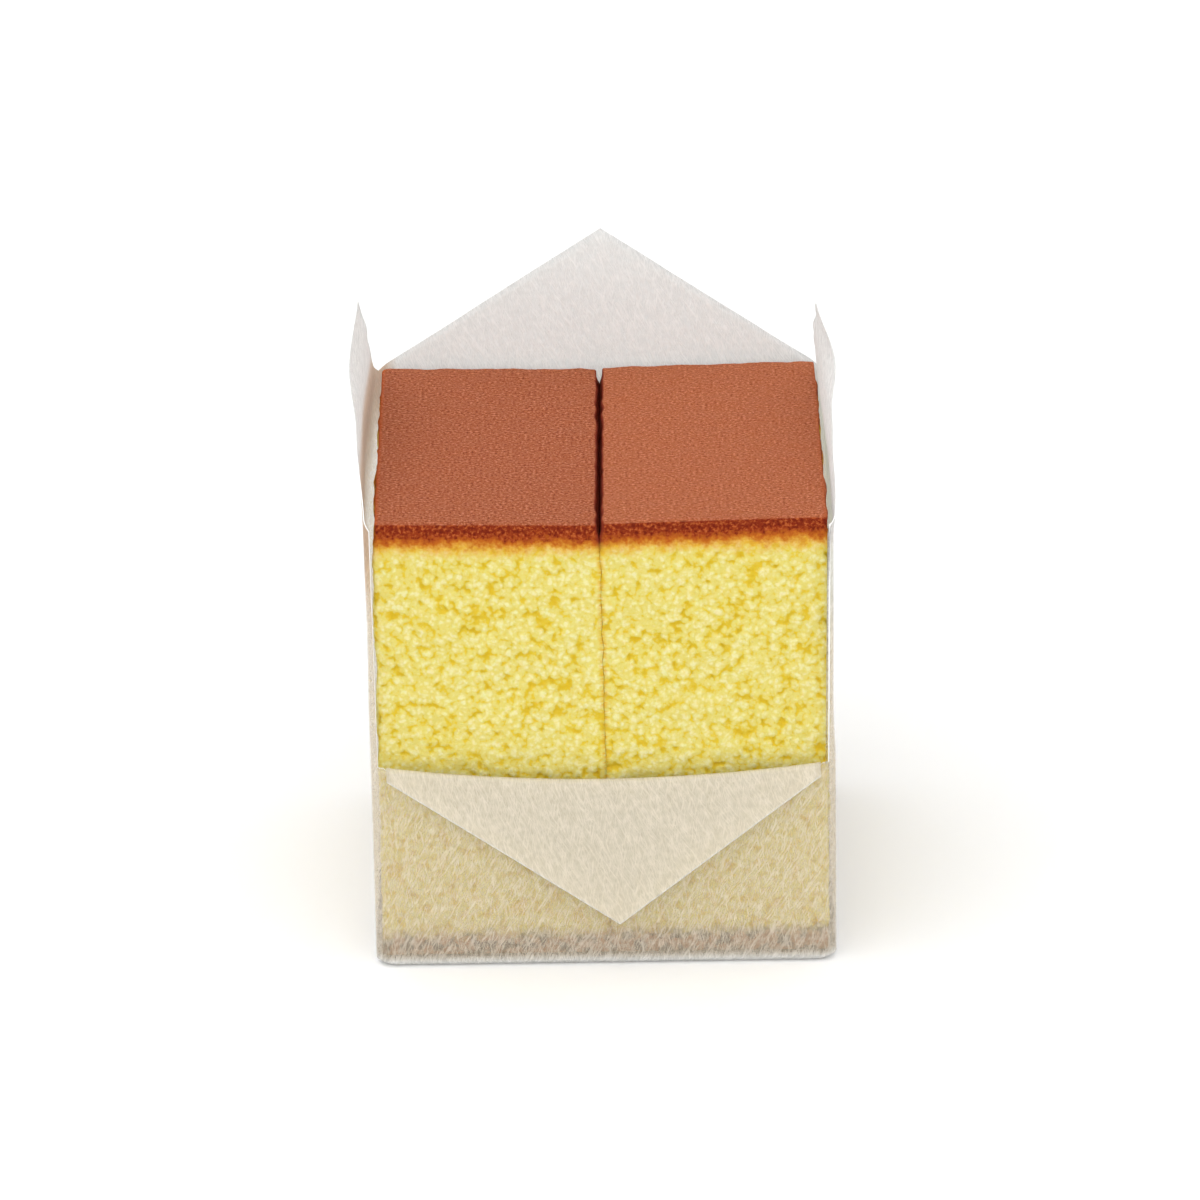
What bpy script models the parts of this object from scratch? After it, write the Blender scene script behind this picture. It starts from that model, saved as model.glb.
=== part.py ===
"""Two upright slices of castella sponge cake, side by side in a folded paper wrapper.

Units are metres and +Z is up. The origin is the middle of the wrapper's underside, and the
side that the wrapper leaves open, where the cut crumb shows, faces -Y.
"""

import math

import bmesh
import bpy
from mathutils import Matrix, Vector, noise

# Slices: both tops dip a little towards the seam, and the seam runs a little askew and leans
SLICE_WIDTH = 0.0281
SLICE_DEPTH = 0.0505
SLICE_HEIGHTS = {"slice_left": 0.0604, "slice_right": 0.0606}
SEAM_WIDTH = 0.0007
SEAM_DIP = 0.0005
SEAM_SKEW = 0.00015
SEAM_LEAN = 0.00080
TOP_CRUST = 0.0026
BOTTOM_CRUST = 0.0015
CRUMB_OUTSIDE_CRUST = 0.00015
EDGE_RADIUS = 0.0006
GRID_STEP = 0.0025

# Relief: how far the crumb, the crusts and the faces at the seam rise and dip
CRUMB_RELIEF = 0.00034
CRUST_RELIEF = 0.00018
SEAM_RELIEF = 0.00012
COARSE_LUMP = 0.0060
FINE_LUMP = 0.0028
COARSE_SHARE = 0.5
FINE_SHARE = 0.9
LUMP_SHIFTS = {"slice_left": 0.222, "slice_right": 0.678}
CRUST_SIDE_SHARE = 0.9
MOSTLY = 0.5

# Wrapper: one sheet of stiff non-woven paper, folded round the cake
PAPER_THICKNESS = 0.0004
PAPER_HALF_WIDTH = 0.0294
PAPER_HALF_DEPTH = 0.0265
PAPER_CORNER_RADIUS = 0.0020
SIDE_WRAPS_TO = 0.75
FOOT_RADIUS = 0.0008
GAP_UNDER_CAKE = 0.0003
SHOULDER_HEIGHT = 0.0600
FRONT_FOLD_HEIGHT = 0.0279
FRONT_FOLD_SAG = 0.0022
# Where each wall's point stands along the wall, and how high it reaches
RIGHT_POINT = (0.0000, 0.0797)
BACK_POINT = (-0.0005, 0.0798)
LEFT_POINT = (0.0000, 0.0808)
# How far each wall stands out at each height. A side wall bulges along its middle, and its
# point is twisted, the front half outwards and the back half in over the cake
RIGHT_BULGE = (
    (0.0, 0.0), (0.058, 0.0001), (0.066, -0.0009), (0.070, -0.0009), (0.075, -0.0005),
    (0.0797, -0.0018),
)
RIGHT_TWIST = ((0.0, 0.0), (0.058, 0.0), (0.066, 0.0008), (0.070, 0.0015), (0.075, 0.0041))
LEFT_BULGE = (
    (0.0, 0.0), (0.045, 0.0003), (0.058, 0.0008), (0.069, 0.0010), (0.0756, 0.0014),
    (0.0808, 0.0011),
)
LEFT_TWIST = ((0.0, 0.0), (0.062, 0.0001), (0.069, 0.0006), (0.0756, 0.0026))
BACK_BOW = ((0.0, 0.0), (0.060, 0.0003), (0.080, 0.0))
FRONT_BOW = ((0.0, 0.0008), (0.028, 0.0003))
RIPPLE = 0.00022
RIPPLE_LENGTH = 0.0150
RIPPLE_FULL_HEIGHT = 0.0700

# Front flap: the front wall's point, folded outwards and down
FLAP_FOLD_RADIUS = 0.0004
FLAP_TIP_ALONG = 0.0018
FLAP_TIP_HEIGHT = 0.0064
FLAP_END_HEIGHT = 0.0264
FLAP_TIP_LIFT = 0.0005

# How finely the paper is split, with closer rows in the points
LOWER_ROWS = 5
UPPER_ROWS = 4
UPPER_FROM = 0.74
CORNER_PARTS = 4
HALF_WALL_PARTS = 7
FOLD_PARTS = 4
FLAP_ROWS = 5

CRUMB_COLOUR = (0.86, 0.66, 0.20, 1.0)
CRUST_COLOUR = (0.44, 0.13, 0.055, 1.0)
PAPER_COLOUR = (0.80, 0.78, 0.75, 1.0)


def clear_scene():
    for old in list(bpy.data.objects):
        bpy.data.objects.remove(old, do_unlink=True)


def plain_material(name, colour, roughness):
    material = bpy.data.materials.new(name)
    material.use_nodes = True
    shader = material.node_tree.nodes["Principled BSDF"]
    shader.inputs["Base Color"].default_value = colour
    shader.inputs["Roughness"].default_value = roughness
    shader.inputs["Metallic"].default_value = 0.0
    return material


def add_object(name, mesh, materials, location, parent):
    """Turns a bmesh into a named object with its materials, and frees the bmesh."""
    data = bpy.data.meshes.new(name)
    mesh.to_mesh(data)
    mesh.free()
    for material in materials:
        data.materials.append(material)
    piece = bpy.data.objects.new(name, data)
    piece.location = location
    piece.parent = parent
    bpy.context.scene.collection.objects.link(piece)
    return piece


def evenly(start, end, parts):
    return [start + (end - start) * i / parts for i in range(parts + 1)]


def smooth_step(value, low, high):
    """Goes from 0 at low to 1 at high with level ends."""
    t = min(max((value - low) / (high - low), 0.0), 1.0)
    return t * t * (3.0 - 2.0 * t)


def read_profile(points, place):
    """Reads a list of (place, value) points at one place, with level ends between them."""
    for (low, low_value), (high, high_value) in zip(points, points[1:]):
        if place <= high:
            return low_value + (high_value - low_value) * smooth_step(place, low, high)
    return points[-1][1]


def split_block(width, depth, height):
    """A block on z = 0, split into a grid, with a row of its own for each crust."""
    mesh = bmesh.new()
    to_place = Matrix.Translation((0, 0, height / 2)) @ Matrix.Diagonal((width, depth, height, 1.0))
    bmesh.ops.create_cube(mesh, size=1.0, matrix=to_place)
    across = evenly(-width / 2, width / 2, round(width / GRID_STEP))[1:-1]
    along = evenly(-depth / 2, depth / 2, round(depth / GRID_STEP))[1:-1]
    crumb_height = height - BOTTOM_CRUST - TOP_CRUST
    upwards = evenly(BOTTOM_CRUST, height - TOP_CRUST, round(crumb_height / GRID_STEP))
    for axis, cuts in enumerate((across, along, upwards)):
        normal = Vector((0, 0, 0))
        normal[axis] = 1.0
        for cut in cuts:
            everything = mesh.verts[:] + mesh.edges[:] + mesh.faces[:]
            bmesh.ops.bisect_plane(mesh, geom=everything, plane_co=normal * cut, plane_no=normal)
    return mesh


def lump(point, shift):
    """Uneven bumps between about -1 and 1, two sizes of them."""
    shifted = point + Vector((shift, shift, shift))
    coarse = noise.noise(shifted / COARSE_LUMP)
    fine = noise.noise(shifted / FINE_LUMP)
    return COARSE_SHARE * coarse + FINE_SHARE * fine


def make_slice(name, seam_side, materials, parent):
    """One slice. seam_side is 1 where the other slice lies towards +X, and -1 towards -X."""
    height = SLICE_HEIGHTS[name]
    mesh = split_block(SLICE_WIDTH, SLICE_DEPTH, height)
    half = Vector((SLICE_WIDTH / 2, SLICE_DEPTH / 2, height / 2))
    centre = Vector((0, 0, height / 2))
    for vertex in mesh.verts:
        from_centre = vertex.co - centre
        inner = Vector([
            min(max(from_centre[i], EDGE_RADIUS - half[i]), half[i] - EDGE_RADIUS) for i in range(3)
        ])
        outward = (from_centre - inner).normalized()
        at_seam = outward.x * seam_side > MOSTLY
        at_side = outward.x * seam_side < -MOSTLY
        relief = CRUMB_RELIEF
        if at_seam:
            relief = SEAM_RELIEF
        elif outward.z > MOSTLY:
            relief = CRUST_RELIEF
        elif outward.z < -MOSTLY:
            relief = 0.0
        rise = relief * lump(vertex.co, LUMP_SHIFTS[name])
        if at_side and vertex.co.z > height - TOP_CRUST * CRUST_SIDE_SHARE:
            rise -= CRUMB_OUTSIDE_CRUST
        vertex.co = centre + inner + outward * (EDGE_RADIUS + rise)
        towards_seam = 0.5 + seam_side * vertex.co.x / SLICE_WIDTH
        vertex.co.x += SEAM_SKEW * towards_seam * vertex.co.y / half.y
        vertex.co.x += SEAM_LEAN * towards_seam * (1.0 - vertex.co.z / height)
        vertex.co.z -= SEAM_DIP * towards_seam * vertex.co.z / height
    for face in mesh.faces:
        face.material_index = int(face.calc_center_median().z > height - TOP_CRUST)
        face.smooth = True
    x = -seam_side * (SEAM_WIDTH + SLICE_WIDTH) / 2
    z = PAPER_THICKNESS + GAP_UNDER_CAKE
    return add_object(name, mesh, materials, (x, 0, z), parent)


def settled(x, y, z):
    """Where a point of the paper's outer face comes to lie: bowed, with soft ripples.

    The cube keeps the side walls' bulge and twist from reaching far round the corners.
    """
    across, along = x / PAPER_HALF_WIDTH, y / PAPER_HALF_DEPTH
    bulge, twist = (RIGHT_BULGE, RIGHT_TWIST) if x > 0 else (LEFT_BULGE, LEFT_TWIST)
    outward = read_profile(bulge, z) * (1.0 - along ** 2) - read_profile(twist, z) * along
    bow = read_profile(BACK_BOW if y > 0 else FRONT_BOW, z)
    size = RIPPLE * smooth_step(z, 0.0, RIPPLE_FULL_HEIGHT)
    ripple = noise.noise_vector(Vector((x, y, z)) / RIPPLE_LENGTH) * size
    return Vector((x + outward * across ** 3 + ripple.x, y + bow * along + ripple.y, z))


def wall_places(half_length, point_along):
    """Places from one end of a wall to the other, with one of them exactly at its point."""
    first = evenly(-half_length, point_along, HALF_WALL_PARTS)
    second = evenly(point_along, half_length, HALF_WALL_PARTS)
    return first + second[1:]


def pointed_top(half_size, point):
    """The upper edge of a wall that rises in two straight lines to its point."""
    point_along, point_height = point

    def height(place):
        reach = half_size - point_along if place > point_along else half_size + point_along
        share = 1.0 - abs(place - point_along) / reach
        return SHOULDER_HEIGHT + (point_height - SHOULDER_HEIGHT) * share

    return height


def folded_top(place):
    """The upper edge of the front wall: the fold, which sags a little in the middle."""
    return FRONT_FOLD_HEIGHT - FRONT_FOLD_SAG * (1.0 - (place / PAPER_HALF_WIDTH) ** 2)


def upright_lines():
    """The paper's upright lines in a ring, anticlockwise from the front's left end.

    Each is (x, y, height) of the outer face before it settles. The front wall's own come first.
    Round a corner, the paper's upper edge runs on down from each wall's end.
    """
    reach_x = PAPER_HALF_WIDTH - PAPER_CORNER_RADIUS
    reach_y = PAPER_HALF_DEPTH - PAPER_CORNER_RADIUS
    # Each wall: the way it faces in degrees, its half length, where its point is, its upper edge
    walls = (
        (-90, reach_x, FLAP_TIP_ALONG, folded_top),
        (0, reach_y, RIGHT_POINT[0], pointed_top(PAPER_HALF_DEPTH, RIGHT_POINT)),
        (90, reach_x, BACK_POINT[0], pointed_top(PAPER_HALF_WIDTH, BACK_POINT)),
        (180, reach_y, LEFT_POINT[0], pointed_top(PAPER_HALF_DEPTH, LEFT_POINT)),
    )
    lines = []
    for wall, (facing, half_length, point_along, top) in enumerate(walls):
        turn = math.radians(facing)
        out = Vector((math.cos(turn), math.sin(turn)))
        along = Vector((-out.y, out.x))
        distance = PAPER_HALF_DEPTH if facing in (-90, 90) else PAPER_HALF_WIDTH
        for place in wall_places(half_length, point_along):
            at = out * distance + along * place
            lines.append((at.x, at.y, top(place)))
        centre = out * (distance - PAPER_CORNER_RADIUS) + along * half_length
        _, next_half_length, _, next_top = walls[(wall + 1) % len(walls)]
        for part in range(1, CORNER_PARTS):
            turned = math.radians(90 * part / CORNER_PARTS)
            x = centre.x + PAPER_CORNER_RADIUS * math.cos(turn + turned)
            y = centre.y + PAPER_CORNER_RADIUS * math.sin(turn + turned)
            from_wall = PAPER_CORNER_RADIUS * turned
            to_next = PAPER_CORNER_RADIUS * (math.pi / 2 - turned)
            height = max(top(half_length + from_wall), next_top(-next_half_length - to_next))
            beside_front = y < -reach_y - PAPER_CORNER_RADIUS * SIDE_WRAPS_TO
            lines.append((x, y, FRONT_FOLD_HEIGHT if beside_front else height))
    return lines


def flap_edge(x):
    """The height of the folded front point's lower edge at x: two straight lines to its tip."""
    reach = PAPER_HALF_WIDTH - PAPER_CORNER_RADIUS
    side = reach - FLAP_TIP_ALONG if x > FLAP_TIP_ALONG else reach + FLAP_TIP_ALONG
    share = abs(x - FLAP_TIP_ALONG) / side
    return FLAP_TIP_HEIGHT + (FLAP_END_HEIGHT - FLAP_TIP_HEIGHT) * share


def flap_places(x, fold_height):
    """The outer face over the front fold and down the flap, below one upright line's end."""
    places = []
    fold = settled(x, -PAPER_HALF_DEPTH, fold_height)
    for part in range(1, FOLD_PARTS + 1):
        angle = math.pi * part / FOLD_PARTS
        forward = FLAP_FOLD_RADIUS * (1.0 - math.cos(angle))
        places.append(fold + Vector((0, -forward, FLAP_FOLD_RADIUS * math.sin(angle))))
    for z in evenly(fold_height, flap_edge(x), FLAP_ROWS)[1:]:
        fallen = (fold_height - z) / (FRONT_FOLD_HEIGHT - FLAP_TIP_HEIGHT)
        forward = 2 * FLAP_FOLD_RADIUS + FLAP_TIP_LIFT * fallen
        places.append(settled(x, -PAPER_HALF_DEPTH, z) + Vector((0, -forward, 0)))
    return places


def join_grid(mesh, columns):
    """Fills the squares between neighbouring columns of vertices, facing outwards."""
    for left, right in zip(columns, columns[1:]):
        for row in range(len(left) - 1):
            mesh.faces.new((left[row], right[row], right[row + 1], left[row + 1]))


def make_wrapper(material, parent):
    mesh = bmesh.new()
    lines = upright_lines()
    columns = []
    for x, y, height in lines:
        inset = Vector((x / PAPER_HALF_WIDTH, y / PAPER_HALF_DEPTH, 0)) * FOOT_RADIUS
        foot = settled(x, y, 0)
        lower = evenly(FOOT_RADIUS, height * UPPER_FROM, LOWER_ROWS)
        upper = evenly(height * UPPER_FROM, height, UPPER_ROWS)
        places = [foot - inset]
        places += [settled(x, y, z) for z in lower + upper[1:]]
        columns.append([mesh.verts.new(place) for place in places])
    join_grid(mesh, columns + columns[:1])
    mesh.faces.new([column[0] for column in reversed(columns)])
    front = columns[:2 * HALF_WALL_PARTS + 1]
    flap = []
    for column, (x, _, height) in zip(front, lines):
        flap.append([column[-1]] + [mesh.verts.new(place) for place in flap_places(x, height)])
    join_grid(mesh, flap)
    bmesh.ops.triangulate(mesh, faces=mesh.faces[:])
    for face in mesh.faces:
        face.smooth = True
    wrapper = add_object("wrapper", mesh, [material], (0, 0, 0), parent)
    thicken = wrapper.modifiers.new("paper_thickness", "SOLIDIFY")
    thicken.thickness = PAPER_THICKNESS
    thicken.offset = -1.0
    thicken.use_even_offset = True
    return wrapper


def main():
    clear_scene()
    crumb = plain_material("castella_crumb", CRUMB_COLOUR, 0.90)
    crust = plain_material("castella_crust", CRUST_COLOUR, 0.75)
    paper = plain_material("wrapper_paper", PAPER_COLOUR, 0.80)
    cake = bpy.data.objects.new("castella", None)
    bpy.context.scene.collection.objects.link(cake)
    make_slice("slice_left", 1, [crumb, crust], cake)
    make_slice("slice_right", -1, [crumb, crust], cake)
    make_wrapper(paper, cake)


main()
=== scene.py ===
import math

import bmesh
import bpy
from mathutils import Matrix, Vector, noise


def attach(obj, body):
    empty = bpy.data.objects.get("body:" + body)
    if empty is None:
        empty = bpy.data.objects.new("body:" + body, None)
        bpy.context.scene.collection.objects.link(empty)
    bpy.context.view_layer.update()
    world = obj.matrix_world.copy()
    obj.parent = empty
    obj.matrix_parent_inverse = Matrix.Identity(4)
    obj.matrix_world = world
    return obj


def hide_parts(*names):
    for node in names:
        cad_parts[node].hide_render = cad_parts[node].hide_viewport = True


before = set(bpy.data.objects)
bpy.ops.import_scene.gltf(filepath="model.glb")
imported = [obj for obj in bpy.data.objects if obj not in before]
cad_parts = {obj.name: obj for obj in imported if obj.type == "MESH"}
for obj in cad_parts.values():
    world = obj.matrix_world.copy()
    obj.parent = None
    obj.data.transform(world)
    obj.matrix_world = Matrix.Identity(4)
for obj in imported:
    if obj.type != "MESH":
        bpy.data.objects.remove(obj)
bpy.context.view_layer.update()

mm = 0.001


# Small helpers for node trees

def linearColour(red, green, blue):
    # a screen colour from 0 to 255, as the linear colour that a shader takes
    def toLinear(part):
        part = part / 255
        return part / 12.92 if part <= 0.04045 else ((part + 0.055) / 1.055) ** 2.4
    return (toLinear(red), toLinear(green), toLinear(blue), 1.0)


def addNode(tree, kind, inputs=None, **settings):
    node = tree.nodes.new(kind)
    for key, value in settings.items():
        setattr(node, key, value)
    for key, value in (inputs or {}).items():
        if isinstance(value, bpy.types.NodeSocket):
            tree.links.new(value, node.inputs[key])
        else:
            node.inputs[key].default_value = value
    return node


def calc(tree, operation, first, second, third=0.0, clamp=False):
    inputs = {0: first, 1: second, 2: third}
    return addNode(tree, "ShaderNodeMath", inputs, operation=operation, use_clamp=clamp).outputs[0]


def vectorCalc(tree, operation, first, second):
    inputs = {0: first, 1: second}
    return addNode(tree, "ShaderNodeVectorMath", inputs, operation=operation).outputs[0]


def scaleVector(tree, vector, factor):
    return addNode(tree, "ShaderNodeVectorMath", {0: vector, "Scale": factor}, operation="SCALE").outputs[0]


def smoothBetween(tree, value, low, high):
    # goes from 0 at low to 1 at high with soft ends
    inputs = {"Value": value, "From Min": low, "From Max": high}
    return addNode(tree, "ShaderNodeMapRange", inputs, interpolation_type="SMOOTHSTEP").outputs["Result"]


def noiseAt(tree, place, scale, detail, roughness=0.5, output="Fac"):
    inputs = {"Vector": place, "Scale": scale, "Detail": detail, "Roughness": roughness}
    return addNode(tree, "ShaderNodeTexNoise", inputs).outputs[output]


def swingAt(tree, place, noiseShape, reach):
    # a noise that swings to either side of 0, over this reach in all
    return calc(tree, "MULTIPLY_ADD", noiseAt(tree, place, *noiseShape), reach, -reach / 2)


def driftAt(tree, place, noiseShape, reach):
    # moves a place to and fro by a noise of the same kind in all directions
    drift = noiseAt(tree, place, *noiseShape, output="Color")
    drift = scaleVector(tree, vectorCalc(tree, "SUBTRACT", drift, (0.5, 0.5, 0.5)), reach)
    return vectorCalc(tree, "ADD", place, drift)


def cellsAt(tree, place, scale, feature, smoothness=None):
    inputs = {"Vector": place, "Scale": scale}
    if smoothness is not None:
        inputs["Smoothness"] = smoothness
    return addNode(tree, "ShaderNodeTexVoronoi", inputs, feature=feature).outputs["Distance"]


def mixColour(tree, factor, first, second):
    return addNode(tree, "ShaderNodeMix", {0: factor, 6: first, 7: second}, data_type="RGBA").outputs[2]


def mixValue(tree, factor, first, second):
    return addNode(tree, "ShaderNodeMix", {0: factor, 2: first, 3: second}).outputs[0]


def colourRamp(tree, value, stops):
    node = addNode(tree, "ShaderNodeValToRGB", {"Fac": value})
    elements = node.color_ramp.elements
    while len(elements) < len(stops):
        elements.new(0.5)
    for element, (position, colour) in zip(elements, stops):
        element.position = position
        element.color = colour
    return node.outputs["Color"]


def attributeOf(tree, name, output="Fac"):
    return addNode(tree, "ShaderNodeAttribute", attribute_name=name).outputs[output]


def newGroup(name, treeType, inputs, outputs):
    tree = bpy.data.node_groups.new(name, treeType)
    for socketName, kind, value in inputs:
        socket = tree.interface.new_socket(socketName, in_out="INPUT", socket_type=kind)
        if value is not None:
            socket.default_value = value
    for socketName, kind in outputs:
        tree.interface.new_socket(socketName, in_out="OUTPUT", socket_type=kind)
    return tree, tree.nodes.new("NodeGroupInput").outputs, tree.nodes.new("NodeGroupOutput").inputs


def newMaterial(name, **constants):
    material = bpy.data.materials.new(name)
    material.use_nodes = True
    tree = material.node_tree
    shader = tree.nodes["Principled BSDF"]
    for key, value in constants.items():
        shader.inputs[key].default_value = value
    return material, tree, shader


def setInput(modifier, name, value):
    # a tree's input is set by its identifier
    for item in modifier.node_group.interface.items_tree:
        if item.item_type == "SOCKET" and item.in_out == "INPUT" and item.name == name:
            modifier[item.identifier] = value


def applyModifiers(piece):
    # takes the evaluated result as a plain mesh
    graph = bpy.context.evaluated_depsgraph_get()
    made = bpy.data.meshes.new_from_object(piece.evaluated_get(graph))
    made.name = piece.name
    piece.modifiers.clear()
    piece.data = made


def newPiece(name, mesh):
    piece = bpy.data.objects.new(name, mesh)
    bpy.context.scene.collection.objects.link(piece)
    return piece


# Camera, floor and light

cameraFit = {
    "place": (-0.000177, -0.923820, 0.454663),
    "downwards": 24.236,     # degrees below the horizon
    "roll": -0.825,
    "focalPixels": 7867.8,
    "framePixels": 1200,
    "sensor": 36.0,
}

studio = {
    "floorSize": 6.0,
    "floorDrop": 0.00002,
    "floorColour": (0.99, 0.99, 0.99, 1.0),
    "worldColour": (1.0, 1.0, 1.0, 1.0),
    "worldStrength": 0.88,
    # name: place, what it points at, size in metres, power in watts
    "lamps": {
        "top": ((-0.25, -0.35, 1.1), (0.0, 0.0, 0.05), 1.2, 5.0),
        "front": ((0.25, -1.3, 0.55), (0.0, 0.0, 0.04), 1.2, 2.6),
    },
}


def makeCamera():
    data = bpy.data.cameras.new("photoCamera")
    data.sensor_width = cameraFit["sensor"]
    data.lens = cameraFit["focalPixels"] / cameraFit["framePixels"] * cameraFit["sensor"]
    data.clip_start = 0.05
    data.clip_end = 20.0
    camera = bpy.data.objects.new("photoCamera", data)
    tilt = Matrix.Rotation(math.radians(90 - cameraFit["downwards"]), 4, "X")
    roll = Matrix.Rotation(math.radians(cameraFit["roll"]), 4, "Z")
    camera.matrix_world = Matrix.Translation(cameraFit["place"]) @ tilt @ roll
    bpy.context.scene.collection.objects.link(camera)
    bpy.context.scene.camera = camera


def makeStudio():
    world = bpy.data.worlds.new("studioWorld")
    world.use_nodes = True
    background = world.node_tree.nodes["Background"]
    background.inputs["Color"].default_value = studio["worldColour"]
    background.inputs["Strength"].default_value = studio["worldStrength"]
    bpy.context.scene.world = world
    for name, (place, aim, size, power) in studio["lamps"].items():
        lamp = bpy.data.lights.new(name + "Lamp", "AREA")
        lamp.size = size
        lamp.energy = power
        holder = bpy.data.objects.new(name + "Lamp", lamp)
        holder.location = place
        holder.rotation_euler = (Vector(aim) - Vector(place)).to_track_quat("-Z", "Y").to_euler()
        bpy.context.scene.collection.objects.link(holder)
    material, _, shader = newMaterial("paleFloor", **{"Roughness": 0.9, "Specular IOR Level": 0.0})
    shader.inputs["Base Color"].default_value = studio["floorColour"]
    mesh = bpy.data.meshes.new("floor")
    reach = studio["floorSize"] / 2
    corners = [(-reach, -reach), (reach, -reach), (reach, reach), (-reach, reach)]
    mesh.from_pydata([(x, y, -studio["floorDrop"]) for x, y in corners], [], [(0, 1, 2, 3)])
    mesh.materials.append(material)
    newPiece("floor", mesh)
    bpy.context.scene.view_settings.view_transform = "Standard"
    cycles = bpy.context.scene.cycles
    cycles.max_bounces = 8
    cycles.diffuse_bounces = 3
    cycles.adaptive_threshold = 0.03
    cycles.adaptive_min_samples = 12


# The sponge: a field of rounded nodules with pits between them, used by the relief and by the colour's
# painted highlights and shade

crumbShape = {
    "warpSize": 1.1,         # millimetres, as are all sizes here
    "warpReach": 0.75,
    "noduleSize": 1.15,
    "noduleSmoothness": 0.2,
    "budSize": 0.62,
    "noduleShare": 0.58,
    # pits lie where the rise is under a level, which differs between patches
    "patchSize": 4.0,
    "pitLevels": (0.37, 0.58),
    "pitEdge": (-0.09, 0.16),
}


def crumbField(treeType):
    tree, source, sink = newGroup("crumbField_" + treeType, treeType,
                                  [("Place", "NodeSocketVector", None)],
                                  [("Rise", "NodeSocketFloat"), ("Pit", "NodeSocketFloat")])
    place = source["Place"]
    bent = driftAt(tree, place, (1 / crumbShape["warpSize"], 1.0), crumbShape["warpReach"])
    nodule = cellsAt(tree, bent, 1 / crumbShape["noduleSize"], "SMOOTH_F1", crumbShape["noduleSmoothness"])
    bud = cellsAt(tree, bent, 1 / crumbShape["budSize"], "F1")
    noduleDome = calc(tree, "SUBTRACT", 1.0, calc(tree, "MULTIPLY", nodule, nodule))
    budDome = calc(tree, "SUBTRACT", 1.0, calc(tree, "MULTIPLY", bud, bud))
    share = crumbShape["noduleShare"]
    rise = calc(tree, "MULTIPLY_ADD", noduleDome, share, calc(tree, "MULTIPLY", budDome, 1 - share))
    patches = noiseAt(tree, place, 1 / crumbShape["patchSize"], 1.0)
    level = mixValue(tree, patches, *crumbShape["pitLevels"])
    belowLevel = calc(tree, "SUBTRACT", level, rise)
    pit = smoothBetween(tree, belowLevel, *crumbShape["pitEdge"])
    tree.links.new(calc(tree, "MULTIPLY", rise, 1.0, clamp=True), sink["Rise"])
    tree.links.new(pit, sink["Pit"])
    return tree


# The slices

sliceShape = {
    "width": 0.0281,
    "depth": 0.0505,
    "heights": {"slice_left": 0.0604, "slice_right": 0.0606},
    "seamWidth": 0.0007,
    # towards the seam the slices dip, and their cuts turn and lean off its straight line
    "seamDip": 0.0005,
    "seamSkew": 0.00015,
    "seamLean": 0.00080,
    # the slices' crumb swells and nearly meets below the crust, between these depths
    "seamSwell": 0.000345,
    "swellFrom": 0.0009,
    "swellTo": 0.0024,
    # but for small notches in their front edge
    "notchReach": 0.00036,
    "notchSize": 0.0009,
    "notchDepth": (0.0, 0.00026),
    # and their cut there wanders this far to either side
    "seamWander": 0.00022,
    "wanderLength": 0.0021,
    "aboveTable": 0.0007,    # the paper's floor and a small gap
    "topCrust": 0.0026,
    # how far the outer side's crumb stands out past the crust, and between which shares of the
    # crust's thickness it starts
    "crumbOutsideCrust": {"slice_left": 0.00038, "slice_right": 0.00022},
    "crustStep": (1.1, 0.8),
    "rimWidth": 0.00090,     # the crust's lighter rim along its outer side edge
    "rimShare": {"slice_left": 0.9, "slice_right": 0.4},
    "backCornerRadius": {"slice_left": 0.0014, "slice_right": 0.0006},
    # how far the painted shade in the seam reaches in from the front, and down from the top
    "seamEdgeDepth": 0.0018,
    "seamTopDepth": 0.0070,
    "edgeRadius": 0.00035,
    "crumbRelief": 0.00034,
    "crustRelief": 0.00018,
    "seamRelief": 0.00012,
    "seamNodules": 0.15,     # the share of the nodules' relief that the faces in the seam keep
    "coarseLump": 0.0060,
    "coarseShare": 0.5,
    "fineLump": 0.0028,
    "fineShare": 0.9,
    "lumpShifts": {"slice_left": 0.222, "slice_right": 0.678},
    # how finely they are split, and how far from the front and the back the coarser steps start
    "gridStep": 0.00027,
    "depthStep": 0.00078,
    "fineFront": 0.0040,
    "fineBack": 0.0020,
    "patternShift": 0.2,     # so that the two slices don't repeat each other
}

# the relief's sizes in millimetres, first those that the tree takes as its inputs
reliefInputs = {
    "Nodule Rise": 0.34,
    "Pit Depth": 0.26,
    "Crust Grain": 0.15,
    "Cut Grain": 0.60,
    "Crust Depth": 2.6,
}

reliefShape = {
    "wobbleNoise": (0.9, 2.0),    # scale per millimetre and detail
    "wobbleReach": 1.4,
    "crustEnd": (-0.4, 0.5),      # from and to how far below the crust its grain gives way to the crumb
    "noduleLevel": 0.72,
    "cutFrom": (0.15, 0.6),       # between these depths the top's grain gives way to the cut edge's
    "grainNoise": (1.9, 2.0),
    "grainLevel": 0.55,
}


def smoothStep(value, low, high):
    t = min(max((value - low) / (high - low), 0.0), 1.0)
    return t * t * (3.0 - 2.0 * t)


def evenly(start, end, parts):
    return [start + (end - start) * i / parts for i in range(parts + 1)]


def spread(start, end, step):
    return evenly(start, end, max(1, round((end - start) / step)))


def shellLattice(lines):
    # the outside of a block that is split along the three lists of lines
    places, corners, faces = [], {}, []

    def corner(key):
        if key not in corners:
            corners[key] = len(places)
            places.append(Vector([lines[axis][key[axis]] for axis in range(3)]))
        return corners[key]

    for axis in range(3):
        across, along = (axis + 1) % 3, (axis + 2) % 3
        for end in (0, len(lines[axis]) - 1):
            for p in range(len(lines[across]) - 1):
                for q in range(len(lines[along]) - 1):
                    square = []
                    for a, b in ((p, q), (p + 1, q), (p + 1, q + 1), (p, q + 1)):
                        key = [0, 0, 0]
                        key[axis], key[across], key[along] = end, a, b
                        square.append(corner(tuple(key)))
                    faces.append(square if end else square[::-1])
    return places, faces


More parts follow.
